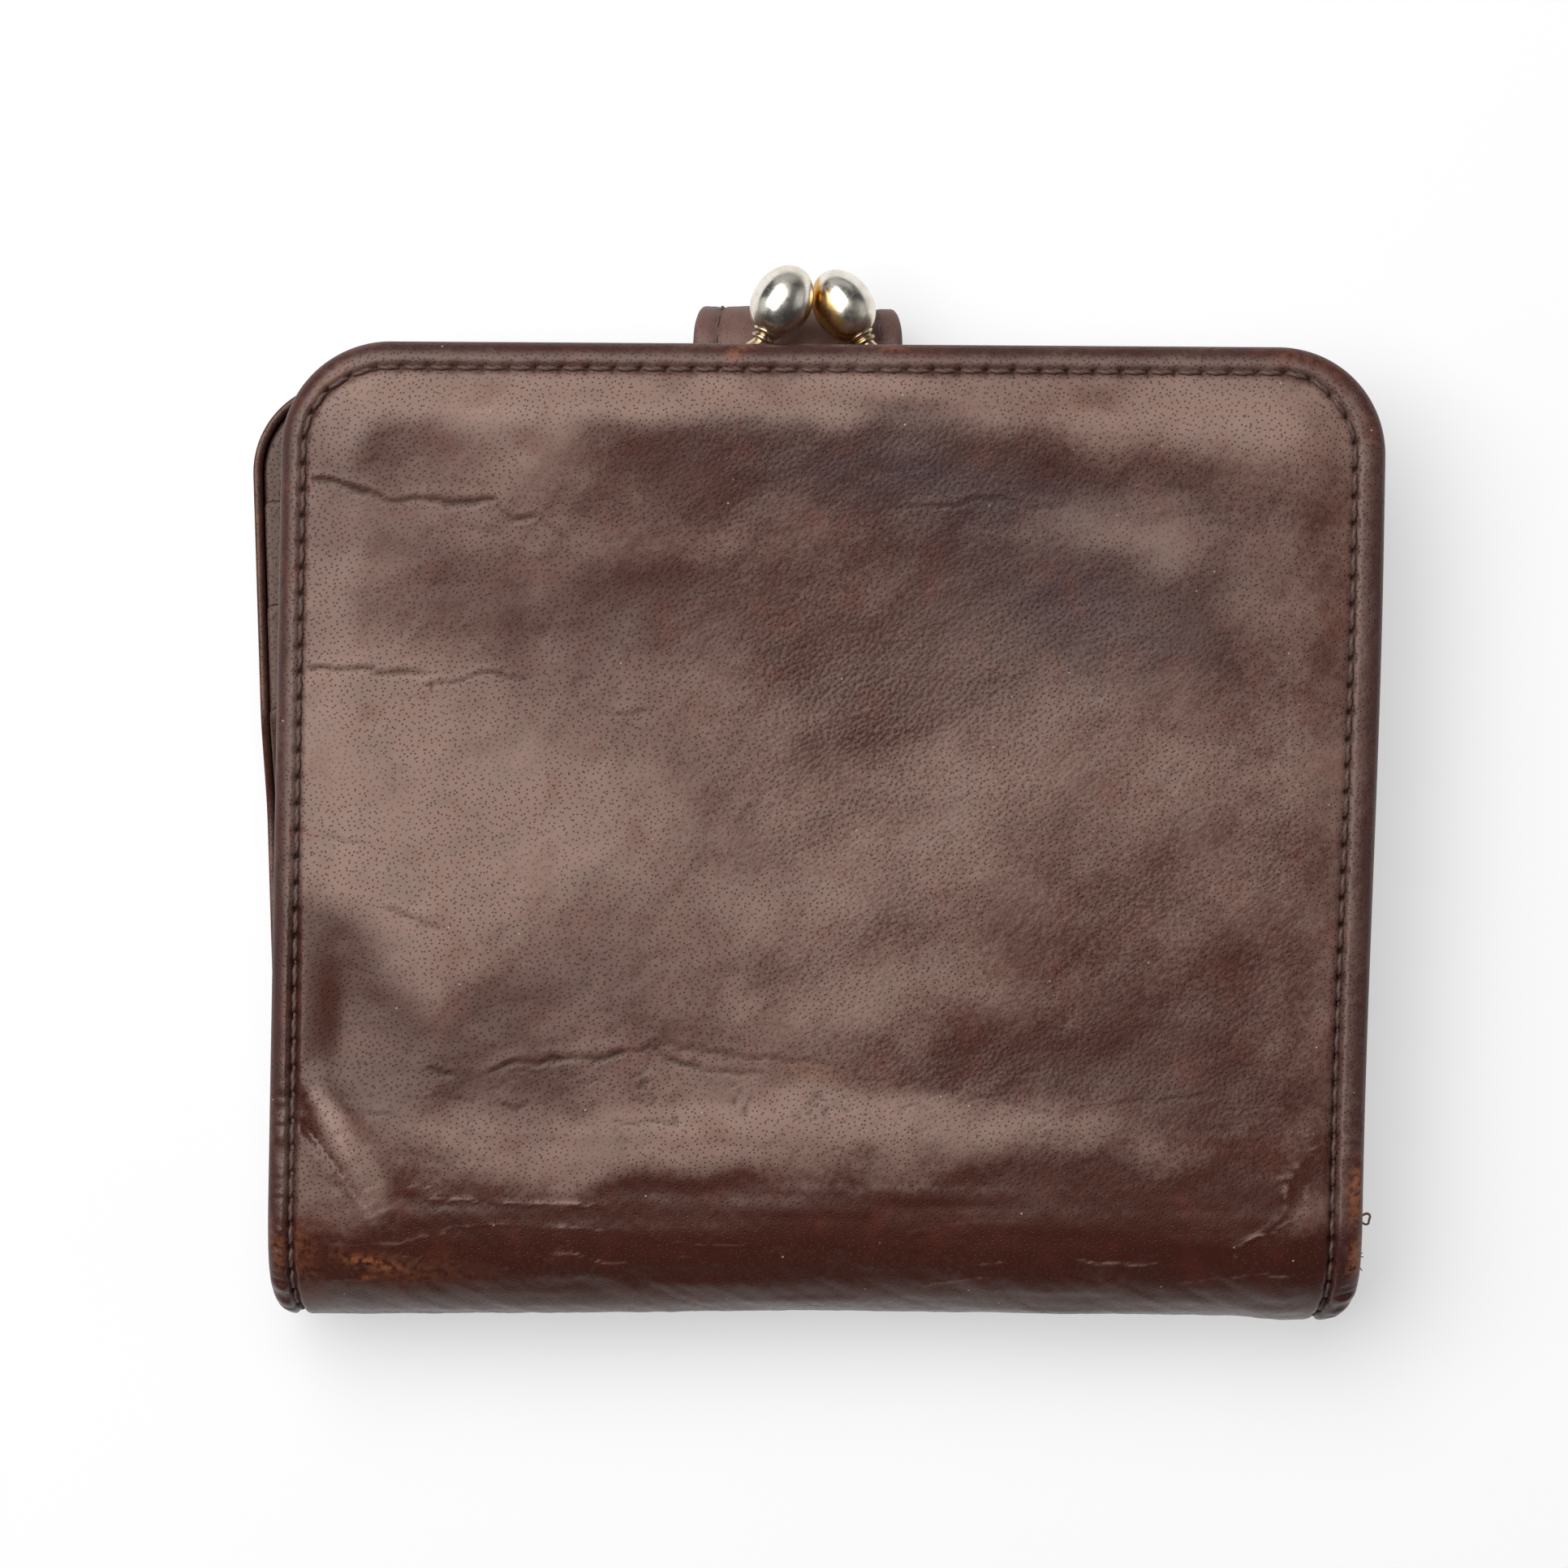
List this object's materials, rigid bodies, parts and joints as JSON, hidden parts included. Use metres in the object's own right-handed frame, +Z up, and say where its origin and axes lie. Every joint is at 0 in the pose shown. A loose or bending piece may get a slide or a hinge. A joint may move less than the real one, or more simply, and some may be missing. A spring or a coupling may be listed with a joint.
{
  "type": "bifold coin purse wallet",
  "caption": "Worn brown leather bifold wallet with a ball-clasp framed coin purse on one half, card pockets on the other and a snap strap that wraps the card half.",
  "frame": {"origin": "on the table under the middle of the coin half, on the flat of the back cover", "axes": "+X along the spine to the right as seen from above, +Y from the spine to the clasp, +Z up from the card half to the coin half"},
  "size_m": [0.117, 0.1092, 0.0223],
  "materials": {
    "cover_leather": "worn aniline leather, half gloss",
    "bound_edge": "burnished leather edge",
    "strap_leather": "worn leather, mauve brown",
    "inner_leather": "smooth leather",
    "lining": "woven lining",
    "gusset_leather": "thin soft leather",
    "thread": "twisted thread, dark brown",
    "frame_steel": "plated steel strip",
    "clasp_plating": "worn nickel over brass",
    "snap_brass": "aged brass",
    "board": "stiff fibre board"
  },
  "bodies": {
    "card_half": {"back_cover": "cover_leather", "card_stiffener": "board", "bill_lining": "lining", "card_panel": "inner_leather", "card_pocket_1": "inner_leather", "card_pocket_2": "inner_leather", "card_pocket_3": "inner_leather", "card_pocket_4": "inner_leather", "card_binding": "bound_edge", "spine_lining": "lining", "snap_stud": "snap_brass", "snap_post": "snap_brass"},
    "coin_half": {"rear_wall": "inner_leather", "rear_binding": "bound_edge", "rear_frame": "frame_steel", "rear_ball": "clasp_plating", "rear_lining": "lining", "frame_rivets": "frame_steel", "gusset_left": "gusset_leather", "gusset_right": "gusset_leather", "spine_cover": "cover_leather", "cover_fold": "cover_leather", "side_bindings": "bound_edge", "pouch_bottom": "lining", "side_stitching": "thread", "strap_root": "strap_leather", "root_stitching": "thread"},
    "coin_front": {"front_cover": "cover_leather", "front_binding": "bound_edge", "front_frame": "frame_steel", "front_ball": "clasp_plating", "front_lining": "lining", "front_stitching": "thread"},
    "strap_flap": {"strap_flap": "strap_leather", "snap_cap": "clasp_plating", "snap_socket": "snap_brass", "strap_stitching": "thread"}
  },
  "joints": [
    {"name": "bifold", "type": "hinge", "parent": "card_half", "child": "coin_half", "pos_m": [0, -0.0505, 0.011], "axis": [1, 0, 0], "range_deg": [0, 180], "deforming": ["spine_lining"]},
    {"name": "clasp_frame", "type": "hinge", "parent": "coin_half", "child": "coin_front", "pos_m": [0, -0.0255, 0.0165], "axis": [1, 0, 0], "range_deg": [0, 55], "deforming": ["gusset_left", "gusset_right", "cover_fold"]},
    {"name": "strap", "type": "hinge", "parent": "coin_half", "child": "strap_flap", "pos_m": [-0.0034, 0.05465, 0.0064], "axis": [1, 0, 0], "range_deg": [0, 150]}
  ]
}
